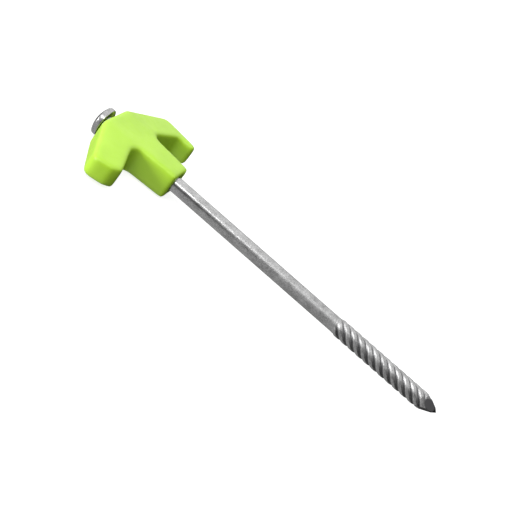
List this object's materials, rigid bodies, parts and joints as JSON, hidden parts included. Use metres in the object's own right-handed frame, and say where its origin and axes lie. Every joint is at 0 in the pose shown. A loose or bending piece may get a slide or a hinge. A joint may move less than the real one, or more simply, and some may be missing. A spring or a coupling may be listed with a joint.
{
  "type": "tent stake",
  "caption": "Straight steel tent spike with a domed head and a twisted, pointed end, turning freely in a moulded plastic head with a hook on one arm and a barb on the other.",
  "frame": {"origin": "centre of the stake's footprint as it lies on its back, on the surface it lies on", "axes": "+X along the spike from its domed head towards the point, +Y towards the hooked arm, +Z out of the front of the hook head"},
  "size_m": [0.2032, 0.0758, 0.015],
  "materials": {
    "plastic": "satin gloss",
    "steel": "bright zinc plate over drawn wire"
  },
  "bodies": {
    "hook_head": {"hook_head": "plastic"},
    "spike": {"steel_spike": "steel"}
  },
  "joints": [
    {"name": "spike_swivel", "type": "hinge", "parent": "hook_head", "child": "spike", "pos_m": [0, 0, 0.0075], "axis": [1, 0, 0], "continuous": true}
  ]
}
